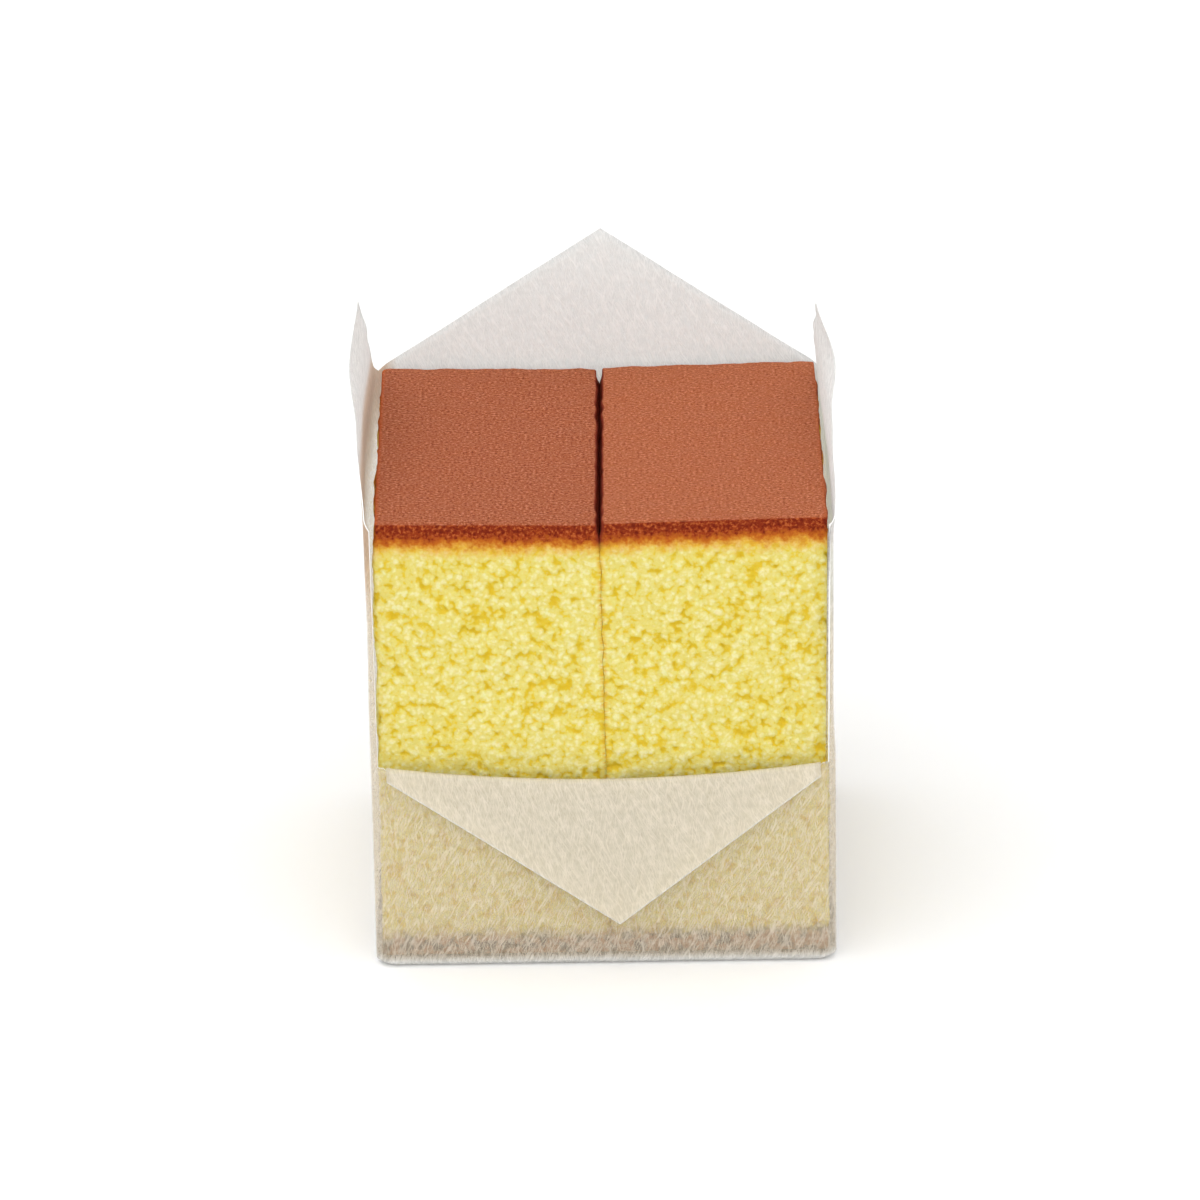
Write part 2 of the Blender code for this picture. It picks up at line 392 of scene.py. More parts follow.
def lump(point, shift):
    # uneven bumps between about -1 and 1, two sizes of them
    shifted = point + Vector((shift, shift, shift))
    coarse = noise.noise(shifted / sliceShape["coarseLump"])
    fine = noise.noise(shifted / sliceShape["fineLump"])
    return sliceShape["coarseShare"] * coarse + sliceShape["fineShare"] * fine


def roundBackCorner(place, half, name, seamSide):
    # rounds the upright edge between the outer side and the back
    radius = sliceShape["backCornerRadius"][name]
    fromSide, fromBack = -seamSide * place.x - (half.x - radius), place.y - (half.y - radius)
    if fromSide <= 0.0 or fromBack <= 0.0:
        return place
    keep = max(fromSide, fromBack) / math.hypot(fromSide, fromBack)
    x = -seamSide * (half.x - radius + fromSide * keep)
    return Vector((x, half.y - radius + fromBack * keep, place.z))


def makeSliceMesh(name, seamSide):
    shape = sliceShape
    height, radius = shape["heights"][name], shape["edgeRadius"]
    half = Vector((shape["width"] / 2, shape["depth"] / 2, height / 2))
    fineStep = shape["gridStep"]
    frontEnd, backStart = shape["fineFront"] - half.y, half.y - shape["fineBack"]
    depthLines = spread(-half.y, frontEnd, fineStep)
    depthLines += spread(frontEnd, backStart, shape["depthStep"])[1:]
    depthLines += spread(backStart, half.y, fineStep)[1:]
    lines = (spread(-half.x, half.x, fineStep), depthLines, spread(0.0, height, fineStep))
    places, faces = shellLattice(lines)
    centre = Vector((0, 0, height / 2))
    settled, baked, reliefs, rims, seams = [], [], [], [], []
    for place in places:
        fromCentre = place - centre
        inner = Vector([min(max(fromCentre[i], radius - half[i]), half[i] - radius) for i in range(3)])
        outward = (fromCentre - inner).normalized()
        fromFront, fromTop = half.y + place.y, height - place.z
        fromSide = half.x + seamSide * place.x
        atSeam, atSide = outward.x * seamSide > 0.5, outward.x * seamSide < -0.5
        atTop, atBottom = outward.z > 0.5, outward.z < -0.5
        relief = shape["crumbRelief"]
        if atBottom:
            relief = 0.0
        elif atSeam:
            relief = shape["seamRelief"]
        elif atTop:
            relief = shape["crustRelief"]
        swell = smoothStep(fromTop, shape["swellFrom"], shape["swellTo"]) if atSeam else 0.0
        rise = relief * lump(place, shape["lumpShifts"][name]) * (1.0 - swell)
        if atSide:
            crustFrom, crustTo = [height - shape["topCrust"] * share for share in shape["crustStep"]]
            rise -= shape["crumbOutsideCrust"][name] * smoothStep(place.z, crustFrom, crustTo)
        made = roundBackCorner(centre + inner + outward * (radius + rise), half, name, seamSide)
        towardsSeam = 0.5 + seamSide * made.x / shape["width"]
        notch = max(0.0, noise.noise(Vector((shape["width"], 0, place.z)) / shape["notchSize"]))
        notch *= shape["notchReach"] * (1.0 - smoothStep(fromFront, *shape["notchDepth"]))
        # the crumb also fills out the rounding of its edge
        made.x += seamSide * (shape["seamSwell"] - notch + radius * (1.0 - abs(outward.x))) * swell
        wander = noise.noise(Vector((0, place.y, place.z)) / shape["wanderLength"])
        made.x += shape["seamWander"] * towardsSeam * wander
        made.x += shape["seamSkew"] * towardsSeam * made.y / half.y
        made.x += shape["seamLean"] * towardsSeam * (1.0 - made.z / height)
        made.z -= shape["seamDip"] * towardsSeam * made.z / height
        made.x -= seamSide * (shape["seamWidth"] + shape["width"]) / 2
        made.z += shape["aboveTable"]
        settled.append(made)
        baked.append((place.x - seamSide * shape["patternShift"], place.y, place.z - height))
        reliefs.append(0.0 if atBottom else shape["seamNodules"] * (1.0 - swell) if atSeam else 1.0)
        nearSide = 1.0 - smoothStep(fromSide, 0.0, shape["rimWidth"])
        atRim = fromTop < shape["topCrust"] / 2 and not atSeam
        rims.append(shape["rimShare"][name] * nearSide if atRim else 0.0)
        # painted shade in the seam between the slices, along its front edge and down from the top
        nearFront = 1.0 - smoothStep(fromFront, 0.0, shape["seamEdgeDepth"])
        nearTop = 1.0 - smoothStep(fromTop, shape["seamTopDepth"] / 2, shape["seamTopDepth"])
        seams.append(max(nearFront, nearTop) if atSeam else 0.0)
    mesh = bpy.data.meshes.new(name + "_sponge")
    mesh.from_pydata(settled, [], faces)
    bakePlace = mesh.attributes.new("bakePlace", "FLOAT_VECTOR", "POINT")
    bakePlace.data.foreach_set("vector", [part for place in baked for part in place])
    for layer, values in (("relief", reliefs), ("rim", rims), ("seam", seams)):
        mesh.attributes.new(layer, "FLOAT", "POINT").data.foreach_set("value", values)
    mesh.shade_smooth()
    return mesh


def storedOn(tree, name, kind):
    node = addNode(tree, "GeometryNodeInputNamedAttribute", {"Name": name}, data_type=kind)
    return node.outputs["Attribute"]


def reliefTree(field):
    shape = reliefShape
    floats = [(name, "NodeSocketFloat", value) for name, value in reliefInputs.items()]
    tree, source, sink = newGroup("crumbRelief", "GeometryNodeTree",
                                  [("Geometry", "NodeSocketGeometry", None)] + floats
                                  + [("Material", "NodeSocketMaterial", None)],
                                  [("Geometry", "NodeSocketGeometry")])
    tree.is_modifier = True
    place = scaleVector(tree, storedOn(tree, "bakePlace", "FLOAT_VECTOR"), 1 / mm)
    crumb = addNode(tree, "GeometryNodeGroup", node_tree=field)
    tree.links.new(place, crumb.inputs["Place"])
    depth = calc(tree, "MULTIPLY", addNode(tree, "ShaderNodeSeparateXYZ", {0: place}).outputs["Z"], -1.0)

    # nodules and pits in the crumb
    unevenDepth = calc(tree, "ADD", depth, swingAt(tree, place, shape["wobbleNoise"], shape["wobbleReach"]))
    belowCrust = calc(tree, "SUBTRACT", unevenDepth, source["Crust Depth"])
    crumbShare = smoothBetween(tree, belowCrust, *shape["crustEnd"])
    rise = calc(tree, "SUBTRACT", crumb.outputs["Rise"], shape["noduleLevel"])
    pits = calc(tree, "MULTIPLY", crumb.outputs["Pit"], source["Pit Depth"])
    nodules = calc(tree, "SUBTRACT", calc(tree, "MULTIPLY", rise, source["Nodule Rise"]), pits)

    # grain on the crust, coarser on its cut edge
    cutShare = smoothBetween(tree, depth, *shape["cutFrom"])
    grainSize = mixValue(tree, cutShare, source["Crust Grain"], source["Cut Grain"])
    grain = calc(tree, "SUBTRACT", noiseAt(tree, place, *shape["grainNoise"]), shape["grainLevel"])
    grain = calc(tree, "MULTIPLY", grain, grainSize)

    height = mixValue(tree, crumbShare, grain, nodules)
    height = calc(tree, "MULTIPLY", height, storedOn(tree, "relief", "FLOAT"))
    normal = addNode(tree, "GeometryNodeInputNormal").outputs[0]
    offset = scaleVector(tree, normal, calc(tree, "MULTIPLY", height, mm))
    inputs = {"Geometry": source["Geometry"], "Offset": offset}
    moved = addNode(tree, "GeometryNodeSetPosition", inputs).outputs[0]
    whole = addNode(tree, "GeometryNodeRealizeInstances", {0: moved}).outputs[0]
    inputs = {"Geometry": whole, "Material": source["Material"]}
    tree.links.new(addNode(tree, "GeometryNodeSetMaterial", inputs).outputs[0], sink["Geometry"])
    return tree


spongeFinish = {
    # painted shade in the crumb's pits and hollows, and painted highlights on its nodules' tips
    "pitShadeColour": linearColour(223, 190, 44),
    "hollowShadeColour": linearColour(221, 193, 60),
    "crumbColour": linearColour(223, 208, 112),
    "tipHighlightColour": linearColour(231, 223, 162),
    "crustTop": linearColour(162, 88, 57),
    "crustSpeck": linearColour(200, 126, 92),
    "crustPore": linearColour(122, 54, 30),
    "crustLitRight": linearColour(240, 146, 92),
    "rightLightShare": 0.07,       # painted light: the right slice's crust is a little lighter
    "crustRim": linearColour(192, 84, 26),
    # painted shade in the seam between the slices, on the crust and on the crumb
    "seamCrustShade": linearColour(128, 44, 22),
    "seamCrumbShade": linearColour(224, 176, 44),
    # how the cut crust changes with depth below the top, in millimetres
    "bakeStops": (
        (0.0, linearColour(144, 56, 22)),
        (0.9, linearColour(130, 40, 10)),
        (1.9, linearColour(152, 60, 18)),
        (2.6, linearColour(186, 98, 26)),
        (3.6, linearColour(218, 160, 50)),
        (5.6, linearColour(224, 200, 92)),
    ),
    "cutSpeck": linearColour(184, 92, 42),
    "cutPore": linearColour(108, 28, 5),
    "bottomCrust": linearColour(160, 112, 76),
    "bottomPatch": linearColour(52, 22, 12),
    # each noise's scale per millimetre, detail and roughness
    "noises": {
        "fine": (2.6, 3.0, 0.6),
        "wobble": (0.55, 2.0),
        "fuzz": (1.6, 2.0, 0.6),
        "mottle": (2.1, 3.0, 0.6),
        "grain": (2.7, 3.0, 0.65),
        "patches": (0.6, 3.0),
    },
    # how far some of them swing: the first in its own measure, the others in millimetres of depth
    "fineReach": 0.44,
    "wobbleReach": 2.0,
    "fuzzReach": 1.8,
    # where each share grows from nothing to all, in the measure of the noise that it follows
    "crumbLit": (0.48, 0.68),
    "tipLit": (0.70, 0.98),
    "cutSpeckAt": (0.50, 0.66),
    "cutPoreAt": (0.49, 0.36),
    "topSpeckAt": (0.51, 0.66),
    "topPoreAt": (0.48, 0.34),
    "rimAt": (0.25, 0.48),
    "seamCrumbAt": (0.40, 0.58),
    "bottomPatchAt": (0.46, 0.58),
    # and with the depth below the top, or above the bottom, in millimetres
    "fullyBaked": (2.7, 1.6),
    "crumbFrom": (2.7, 5.6),
    "topTo": (0.40, 0.10),
    "seamCrumbFrom": (2.4, 4.8),
    "bottomFrom": (4.2, 1.8),
    "crustRoughness": 0.85,
    "crumbRoughness": 0.68,
    "bumpStrength": 0.85,
    "bumpDepth": 0.00025,
}


def spongeMaterial(field):
    finish = spongeFinish
    material, tree, shader = newMaterial("castellaSponge", **{
        "Specular IOR Level": 0.15,
        "Subsurface Weight": 0.25,
        "Subsurface Radius": (1.0, 0.7, 0.25),
        "Subsurface Scale": 0.0009,
    })
    place = scaleVector(tree, attributeOf(tree, "bakePlace", "Vector"), 1 / mm)
    crumb = addNode(tree, "ShaderNodeGroup", node_tree=field)
    tree.links.new(place, crumb.inputs["Place"])
    rise, pit = crumb.outputs["Rise"], crumb.outputs["Pit"]
    parts = addNode(tree, "ShaderNodeSeparateXYZ", {0: place}).outputs
    depth = calc(tree, "MULTIPLY", parts["Z"], -1.0)

    def share(value, limits):
        return smoothBetween(tree, value, *finish[limits])

    # crumb, with painted highlights on its nodules' tops, painted shade in the hollows between them and in
    # the pits, and a random tone from a fine noise
    fine = noiseAt(tree, place, *finish["noises"]["fine"])
    reach = finish["fineReach"]
    lit = calc(tree, "ADD", rise, calc(tree, "MULTIPLY_ADD", fine, reach, -reach / 2))
    body = mixColour(tree, share(lit, "crumbLit"), finish["hollowShadeColour"], finish["crumbColour"])
    body = mixColour(tree, share(lit, "tipLit"), body, finish["tipHighlightColour"])
    body = mixColour(tree, pit, body, finish["pitShadeColour"])

    # crust, from its cut edge down to where it fades into the crumb
    wobble = swingAt(tree, place, finish["noises"]["wobble"], finish["wobbleReach"])
    fuzz = swingAt(tree, place, finish["noises"]["fuzz"], finish["fuzzReach"])
    bakeDepth = calc(tree, "ADD", depth, calc(tree, "ADD", wobble, fuzz))
    deepest = finish["bakeStops"][-1][0]
    stops = [(at / deepest, colour) for at, colour in finish["bakeStops"]]
    cut = colourRamp(tree, calc(tree, "DIVIDE", bakeDepth, deepest), stops)
    mottle = noiseAt(tree, place, *finish["noises"]["mottle"])
    fullyBaked = share(bakeDepth, "fullyBaked")
    specks = calc(tree, "MULTIPLY", share(mottle, "cutSpeckAt"), fullyBaked)
    cut = mixColour(tree, specks, cut, finish["cutSpeck"])
    pores = calc(tree, "MULTIPLY", share(mottle, "cutPoreAt"), fullyBaked)
    cut = mixColour(tree, pores, cut, finish["cutPore"])
    crumbShare = share(bakeDepth, "crumbFrom")
    colour = mixColour(tree, crumbShare, cut, body)

    # the top of the crust, with fine specks and pores, and its rim
    grain = noiseAt(tree, place, *finish["noises"]["grain"])
    top = mixColour(tree, share(grain, "topSpeckAt"), finish["crustTop"], finish["crustSpeck"])
    top = mixColour(tree, share(grain, "topPoreAt"), top, finish["crustPore"])
    # painted light on the right slice's crust, which is made a little lighter
    onRight = smoothBetween(tree, parts["X"], -1.0, 1.0)
    top = mixColour(tree, calc(tree, "MULTIPLY", onRight, finish["rightLightShare"]), top, finish["crustLitRight"])
    rim = calc(tree, "MULTIPLY", attributeOf(tree, "rim"), share(mottle, "rimAt"))
    top = mixColour(tree, rim, top, finish["crustRim"])
    colour = mixColour(tree, share(depth, "topTo"), colour, top)

    # painted shade in the seam between the slices, whose golden crumb part is broken up
    belowCrust = share(depth, "seamCrumbFrom")
    seamShadeColour = mixColour(tree, belowCrust, finish["seamCrustShade"], finish["seamCrumbShade"])
    broken = mixValue(tree, belowCrust, 1.0, share(mottle, "seamCrumbAt"))
    seam = calc(tree, "MULTIPLY", attributeOf(tree, "seam"), broken)
    colour = mixColour(tree, seam, colour, seamShadeColour)

    # the thin brown crust underneath
    bottomDepth = sliceShape["heights"]["slice_left"] / mm
    bottomShare = smoothBetween(tree, bakeDepth, *[bottomDepth - above for above in finish["bottomFrom"]])
    patches = share(noiseAt(tree, place, *finish["noises"]["patches"]), "bottomPatchAt")
    bottom = mixColour(tree, patches, finish["bottomCrust"], finish["bottomPatch"])
    tree.links.new(mixColour(tree, bottomShare, colour, bottom), shader.inputs["Base Color"])

    roughness = mixValue(tree, crumbShare, finish["crustRoughness"], finish["crumbRoughness"])
    tree.links.new(roughness, shader.inputs["Roughness"])
    inputs = {"Strength": finish["bumpStrength"], "Distance": finish["bumpDepth"], "Height": fine}
    bump = addNode(tree, "ShaderNodeBump", inputs)
    tree.links.new(bump.outputs["Normal"], shader.inputs["Normal"])
    return material


def makeSlices():
    material = spongeMaterial(crumbField("ShaderNodeTree"))
    tree = reliefTree(crumbField("GeometryNodeTree"))
    for name, seamSide, slot in (("slice_left", 1, "sponge_left"), ("slice_right", -1, "sponge_right")):
        piece = newPiece(name + "_sponge", makeSliceMesh(name, seamSide))
        relief = piece.modifiers.new("crumbRelief", "NODES")
        relief.node_group = tree
        for inputName, value in reliefInputs.items():
            setInput(relief, inputName, value)
        setInput(relief, "Material", material)
        applyModifiers(piece)
        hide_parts(name)
        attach(piece, "root")
        print(name, "has", sum(len(face.vertices) - 2 for face in piece.data.polygons), "triangles")


# The wrapper

paperShape = {
    "thickness": 0.00014,
    "halfWidth": 0.0294,
    "halfDepth": 0.0265,
    "cornerRadius": 0.0020,
    "sideWrapsTo": 0.75,     # how far round the front corners the side walls reach, of their radius
    "footRadius": 0.0008,
    "shoulderHeight": 0.0600,
    "frontFoldHeight": 0.0279,
    "frontFoldSag": 0.0022,
    # where each wall's point stands along the wall, and how high it reaches
    "rightPoint": (0.0000, 0.0797),
    "backPoint": (-0.0005, 0.0798),
    "leftPoint": (0.0000, 0.0808),
    # how far each wall stands out at each height. A side wall bulges along its middle, and its
    # point is twisted, the front half outwards and the back half in over the cake
    "rightBulge": ((0.0, 0.0), (0.058, 0.0001), (0.066, -0.0009), (0.070, -0.0009), (0.075, -0.0005),
                   (0.0797, -0.0015)),
    "rightTwist": ((0.0, 0.0), (0.028, 0.0), (0.034, -0.0003), (0.058, -0.0003), (0.066, 0.0008),
                   (0.070, 0.0015), (0.075, 0.0041)),
    "leftBulge": ((0.0, 0.0), (0.045, 0.0003), (0.058, 0.0008), (0.069, 0.0010), (0.0756, 0.0014),
                  (0.0808, 0.0011)),
    "leftTwist": ((0.0, 0.0), (0.062, 0.0001), (0.069, 0.0006), (0.0756, 0.0026)),
    "backBow": ((0.0, 0.0), (0.060, 0.0003), (0.080, 0.0)),
    "frontBow": ((0.0, 0.0008), (0.028, 0.0003)),
    "ripple": 0.00022,
    "rippleSeed": 223,
    "rippleLength": 0.0150,
    "rippleFullHeight": 0.0700,
    "flapFoldRadius": 0.0004,
    "flapTipAlong": 0.0018,
    "flapTipHeight": 0.0064,
    "flapEndHeight": 0.0264,
    "flapTipLift": 0.0005,
    # it has soaked up moisture from the cake, apart from its foot and, from the first to the second
    # of these heights on its left and its right, its upper part
    "footDryTo": 0.0004,
    "moistFrom": 0.0018,
    "leftMoist": (0.0480, 0.0610),
    "rightMoist": (0.0380, 0.0540),
    # and its left wall, from and to these shares of the half width, has painted warm shade beside the crust
    "warmShade": ((0.0, 0.0), (0.044, 0.0), (0.056, 1.0), (0.0615, 1.0), (0.0655, 0.0)),
    "warmShadeFrom": (0.9, 0.96),
    "flapEdgeWidth": 0.00030,
    # how finely it is split
    "wallRows": 56,
    "cornerParts": 8,
    "halfWallParts": 26,
    "foldParts": 8,
    "flapRows": 22,
}


def readProfile(points, place):
    for (low, lowValue), (high, highValue) in zip(points, points[1:]):
        if place <= high:
            return lowValue + (highValue - lowValue) * smoothStep(place, low, high)
    return points[-1][1]


def settledPaper(x, y, z):
    # where a point of the outer face comes to lie: bowed, with soft ripples
    paper = paperShape
    across, along = x / paper["halfWidth"], y / paper["halfDepth"]
    side = "right" if x > 0 else "left"
    outward = readProfile(paper[side + "Bulge"], z) * (1.0 - along ** 2)
    outward -= readProfile(paper[side + "Twist"], z) * along
    bow = readProfile(paper["backBow"] if y > 0 else paper["frontBow"], z)
    size = paper["ripple"] * smoothStep(z, 0.0, paper["rippleFullHeight"])
    ripple = noise.noise_vector(Vector((x, y, z)) / paper["rippleLength"]) * size
    # the cube keeps the side walls' bulge and twist from reaching far round the corners
    return Vector((x + outward * across ** 3 + ripple.x, y + bow * along + ripple.y, z))


def pointedTop(halfSize, point):
    pointAlong, pointHeight = point

    def height(place):
        reach = halfSize - pointAlong if place > pointAlong else halfSize + pointAlong
        share = 1.0 - abs(place - pointAlong) / reach
        return paperShape["shoulderHeight"] + (pointHeight - paperShape["shoulderHeight"]) * share

    return height


def foldedTop(place):
    sag = paperShape["frontFoldSag"] * (1.0 - (place / paperShape["halfWidth"]) ** 2)
    return paperShape["frontFoldHeight"] - sag


def uprightLines():
    # (x, y, height) of the outer face, anticlockwise from the front's left end
    paper = paperShape
    radius, parts = paper["cornerRadius"], paper["cornerParts"]
    reachX, reachY = paper["halfWidth"] - radius, paper["halfDepth"] - radius
    walls = (
        (-90, reachX, paper["flapTipAlong"], foldedTop),
        (0, reachY, paper["rightPoint"][0], pointedTop(paper["halfDepth"], paper["rightPoint"])),
        (90, reachX, paper["backPoint"][0], pointedTop(paper["halfWidth"], paper["backPoint"])),
        (180, reachY, paper["leftPoint"][0], pointedTop(paper["halfDepth"], paper["leftPoint"])),
    )
    lines = []
    for wall, (facing, halfLength, pointAlong, top) in enumerate(walls):
        turn = math.radians(facing)
        out = Vector((math.cos(turn), math.sin(turn)))
        along = Vector((-out.y, out.x))
        distance = paper["halfDepth"] if facing in (-90, 90) else paper["halfWidth"]
        places = evenly(-halfLength, pointAlong, paper["halfWallParts"])
        places += evenly(pointAlong, halfLength, paper["halfWallParts"])[1:]
        for place in places:
            at = out * distance + along * place
            lines.append((at.x, at.y, top(place)))
        centre = out * (distance - radius) + along * halfLength
        _, nextHalfLength, _, nextTop = walls[(wall + 1) % len(walls)]
        for part in range(1, parts):
            # the upper edge runs on down round the corner from each wall's end
            turned = math.radians(90 * part / parts)
            x, y = centre.x + radius * math.cos(turn + turned), centre.y + radius * math.sin(turn + turned)
            toNext = radius * (math.pi / 2 - turned)
            height = max(top(halfLength + radius * turned), nextTop(-nextHalfLength - toNext))
            besideFront = y < -reachY - radius * paper["sideWrapsTo"]
            lines.append((x, y, paper["frontFoldHeight"] if besideFront else height))
    return lines


def flapEdge(x):
    paper = paperShape
    reach = paper["halfWidth"] - paper["cornerRadius"]
    side = reach - paper["flapTipAlong"] if x > paper["flapTipAlong"] else reach + paper["flapTipAlong"]
    share = abs(x - paper["flapTipAlong"]) / side
    return paper["flapTipHeight"] + (paper["flapEndHeight"] - paper["flapTipHeight"]) * share


def flapPlaces(x, foldHeight):
    # the outer face over the fold and down the flap
    paper = paperShape
    radius, places = paper["flapFoldRadius"], []
    fold = settledPaper(x, -paper["halfDepth"], foldHeight)
    for part in range(1, paper["foldParts"] + 1):
        angle = math.pi * part / paper["foldParts"]
        places.append(fold + Vector((0, -radius * (1.0 - math.cos(angle)), radius * math.sin(angle))))
    edge = flapEdge(x)
    for z in evenly(foldHeight, edge + paper["flapEdgeWidth"], paper["flapRows"])[1:] + [edge]:
        fallen = (foldHeight - z) / (paper["frontFoldHeight"] - paper["flapTipHeight"])
        forward = 2 * radius + paper["flapTipLift"] * fallen
        places.append(settledPaper(x, -paper["halfDepth"], z) + Vector((0, -forward, 0)))
    return places


def joinGrid(mesh, columns, maps, uvLayer):
    # fills the squares between neighbouring columns, facing outwards
    for left, right, leftMap, rightMap in zip(columns, columns[1:], maps, maps[1:]):
        for row in range(len(left) - 1):
            face = mesh.faces.new((left[row], right[row], right[row + 1], left[row + 1]))
            spots = (leftMap[row], rightMap[row], rightMap[row + 1], leftMap[row + 1])
            for loop, spot in zip(face.loops, spots):
                loop[uvLayer].uv = spot
            face.smooth = True


def lengthsAlong(places, start=0.0):
    lengths = [start]
    for before, after in zip(places, places[1:]):
        lengths.append(lengths[-1] + (after - before).length)
    return lengths


def makeWrapperMesh():
    paper = paperShape
    noise.seed_set(paper["rippleSeed"])
    mesh = bmesh.new()
    uvLayer = mesh.loops.layers.uv.new("sheetMap")
    freeLayer = mesh.verts.layers.float.new("free")
    moistLayer = mesh.verts.layers.float.new("moist")
    warmShadeLayer = mesh.verts.layers.float.new("warmShade")
    flapLayer = mesh.verts.layers.float.new("flap")
    lines = uprightLines()
    columns, maps = [], []
    around, before = 0.0, None
    for x, y, height in lines:
        around += (Vector((x, y)) - before).length if before else 0.0
        before = Vector((x, y))
        inset = Vector((x / paper["halfWidth"], y / paper["halfDepth"], 0)) * paper["footRadius"]
        places = [settledPaper(x, y, 0) - inset]
        places += [settledPaper(x, y, z) for z in evenly(paper["footRadius"], height, paper["wallRows"])]
        columns.append([mesh.verts.new(place) for place in places])
        onRight = smoothStep(x, -paper["halfWidth"], paper["halfWidth"])
        moistTo, dryFrom = [(1.0 - onRight) * left + onRight * right
                            for left, right in zip(paper["leftMoist"], paper["rightMoist"])]
        atLeftWall = smoothStep(-x / paper["halfWidth"], *paper["warmShadeFrom"])
        for vertex in columns[-1]:
            moist = smoothStep(vertex.co.z, paper["footDryTo"], paper["moistFrom"])
            free = smoothStep(vertex.co.z, moistTo, dryFrom)
            vertex[freeLayer] = free
            vertex[moistLayer] = moist * (1.0 - free)
            # painted warm shade on the left wall beside the crust
            vertex[warmShadeLayer] = atLeftWall * readProfile(paper["warmShade"], vertex.co.z)
        maps.append([(around, up) for up in lengthsAlong(places)])
    around += (Vector(lines[0][:2]) - before).length
    closing = [(around, up) for _, up in maps[0]]
    joinGrid(mesh, columns + columns[:1], maps + [closing], uvLayer)
    floor = mesh.faces.new([column[0] for column in reversed(columns)])
    for loop in floor.loops:
        loop[uvLayer].uv = loop.vert.co.xy
    frontLines = 2 * paper["halfWallParts"] + 1
    flap, flapMaps = [], []
    for column, spots, (x, _, height) in zip(columns[:frontLines], maps, lines):
        places = flapPlaces(x, height)
        made = [mesh.verts.new(place) for place in places]
        # all but its outermost edge, which is dry
        for vertex in made[:-1]:
            vertex[flapLayer] = 1.0
        flap.append([column[-1]] + made)
        ups = lengthsAlong([column[-1].co] + places, spots[-1][1])
        flapMaps.append([(spots[-1][0], up) for up in ups])
    joinGrid(mesh, flap, flapMaps, uvLayer)
    data = bpy.data.meshes.new("wrapper_paper")
    mesh.to_mesh(data)
    mesh.free()
    return data


paperFinish = {
    # where it stands free, and where it lies on the moist cake and lets more light through
    "dryFibre": linearColour(254, 254, 252),
    "dryGap": linearColour(237, 238, 236),
    "moistFibre": linearColour(239, 228, 211),
    "moistGap": linearColour(217, 201, 173),
    "flapFibre": linearColour(243, 234, 216),
    "flapGap": linearColour(229, 219, 198),
    # painted warm shade on the left wall beside the crust, and how much of it shows
    "warmShade": linearColour(208, 164, 112),
    "warmShadeShare": 0.65,
    # how much one face of the sheet covers, between the fibres and on them
    "dryCover": (0.52, 0.72),
    "moistCover": (0.16, 0.44),
    "flapCover": (0.48, 0.62),
    "glowShare": 0.35,       # how much of it glows with the light behind it, where it stands free
    # each layer of fibres: turn in degrees, width and length in millimetres
    "fibreLayers": ((58, 0.09, 1.6), (74, 0.07, 1.2), (98, 0.08, 1.2)),
    "fibreShare": 0.62,      # of how dense it looks, the rest being clouds
    # each noise's scale per millimetre, detail and roughness, and where it counts from nothing to all
    "driftNoise": (0.6, 1.0),
    "driftReach": 0.35,
    "streakNoise": (0.5, 2.0, 0.55),
    "streakAt": (0.46, 0.68),
    "cloudNoise": (1.1, 3.0),
    "cloudAt": (0.30, 0.70),
    "flatRelief": 0.4,       # the share of its relief that it keeps where it lies on something
    "bumpStrength": 0.8,
    "bumpDepth": 0.00009,
}

paperSheen = {"Specular IOR Level": 0.2, "Roughness": 0.85}


def fibreGroup():
    # hair-like fibres on a flat map in millimetres
    tree, source, sink = newGroup("paperFibres", "ShaderNodeTree",
                                  [("Map", "NodeSocketVector", None), ("Turn", "NodeSocketFloat", 0.0),
                                   ("Width", "NodeSocketFloat", 0.2), ("Length", "NodeSocketFloat", 3.0)],
                                  [("Fibres", "NodeSocketFloat")])
    bent = driftAt(tree, source["Map"], paperFinish["driftNoise"], paperFinish["driftReach"])
    inputs = {"Vector": bent, "Angle": calc(tree, "MULTIPLY", source["Turn"], -1.0)}
    turned = addNode(tree, "ShaderNodeVectorRotate", inputs, rotation_type="Z_AXIS").outputs[0]
    parts = addNode(tree, "ShaderNodeSeparateXYZ", {0: turned}).outputs
    along = calc(tree, "DIVIDE", parts["X"], source["Length"])
    across = calc(tree, "DIVIDE", parts["Y"], source["Width"])
    inputs = {"X": along, "Y": across, "Z": source["Turn"]}
    stretched = addNode(tree, "ShaderNodeCombineXYZ", inputs).outputs[0]
    streak = noiseAt(tree, stretched, *paperFinish["streakNoise"])
    tree.links.new(smoothBetween(tree, streak, *paperFinish["streakAt"]), sink["Fibres"])
    return tree


def paperEdgeMaterial():
    material, _, shader = newMaterial("wrapperPaperEdge", **paperSheen)
    shader.inputs["Base Color"].default_value = paperFinish["dryFibre"]
    return material


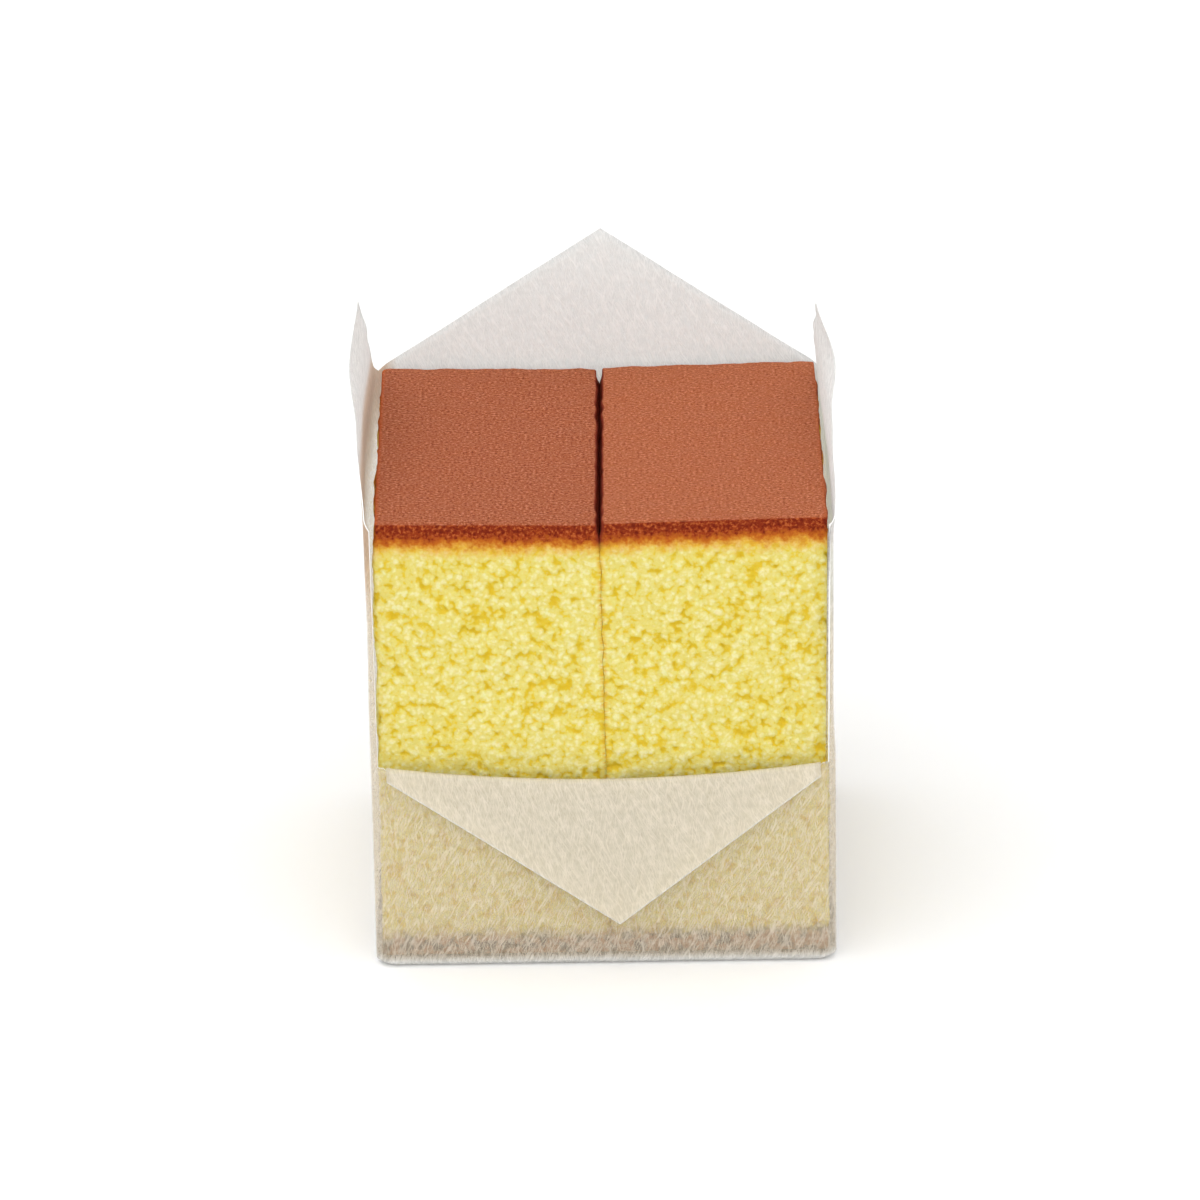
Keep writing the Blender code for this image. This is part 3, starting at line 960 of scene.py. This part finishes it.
def paperMaterial():
    finish = paperFinish
    material, tree, shader = newMaterial("wrapperPaper", **paperSheen)
    uv = addNode(tree, "ShaderNodeUVMap", uv_map="sheetMap").outputs[0]
    flatMap = scaleVector(tree, uv, 1 / mm)
    fibres = 0.0
    group = fibreGroup()
    for turn, width, length in finish["fibreLayers"]:
        layer = addNode(tree, "ShaderNodeGroup", node_tree=group)
        tree.links.new(flatMap, layer.inputs["Map"])
        layer.inputs["Turn"].default_value = math.radians(turn)
        layer.inputs["Width"].default_value = width
        layer.inputs["Length"].default_value = length
        fibres = calc(tree, "MAXIMUM", fibres, layer.outputs[0])
    cloud = smoothBetween(tree, noiseAt(tree, flatMap, *finish["cloudNoise"]), *finish["cloudAt"])
    density = mixValue(tree, finish["fibreShare"], cloud, fibres)
    moist, flap, warmShade, free = [attributeOf(tree, layer) for layer in ("moist", "flap", "warmShade", "free")]
    gap = mixColour(tree, moist, finish["dryGap"], finish["moistGap"])
    gap = mixColour(tree, flap, gap, finish["flapGap"])
    fibre = mixColour(tree, moist, finish["dryFibre"], finish["moistFibre"])
    fibre = mixColour(tree, flap, fibre, finish["flapFibre"])
    colour = mixColour(tree, density, gap, fibre)
    # painted warm shade on the left wall beside the crust
    colour = mixColour(tree, calc(tree, "MULTIPLY", warmShade, finish["warmShadeShare"]), colour, finish["warmShade"])
    tree.links.new(colour, shader.inputs["Base Color"])
    covers = []
    for dry, wet, folded in zip(finish["dryCover"], finish["moistCover"], finish["flapCover"]):
        covers.append(mixValue(tree, flap, mixValue(tree, moist, dry, wet), folded))
    tree.links.new(mixValue(tree, density, *covers), shader.inputs["Alpha"])

    # its relief shows best where it doesn't lie on something
    flatter = calc(tree, "MAXIMUM", moist, flap)
    height = calc(tree, "MULTIPLY", density, mixValue(tree, flatter, 1.0, finish["flatRelief"]))
    inputs = {"Strength": finish["bumpStrength"], "Distance": finish["bumpDepth"], "Height": height}
    bump = addNode(tree, "ShaderNodeBump", inputs)
    tree.links.new(bump.outputs["Normal"], shader.inputs["Normal"])

    # light comes through it where it stands free
    glow = addNode(tree, "ShaderNodeBsdfTranslucent", {"Color": colour})
    glowShare = calc(tree, "MULTIPLY", free, finish["glowShare"])
    inputs = {0: glowShare, 1: shader.outputs[0], 2: glow.outputs[0]}
    both = addNode(tree, "ShaderNodeMixShader", inputs)
    tree.links.new(both.outputs[0], tree.nodes["Material Output"].inputs["Surface"])
    return material


def makeWrapper():
    piece = newPiece("wrapper_paper", makeWrapperMesh())
    piece.data.materials.append(paperMaterial())
    piece.data.materials.append(paperEdgeMaterial())
    thicken = piece.modifiers.new("thickness", "SOLIDIFY")
    thicken.thickness = paperShape["thickness"]
    thicken.offset = -1.0
    thicken.use_even_offset = True
    thicken.material_offset_rim = 1
    applyModifiers(piece)
    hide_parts("wrapper")
    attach(piece, "root")
    print("wrapper has", sum(len(face.vertices) - 2 for face in piece.data.polygons), "triangles")


makeCamera()
makeStudio()
print("camera, floor and lights made")
makeSlices()
makeWrapper()
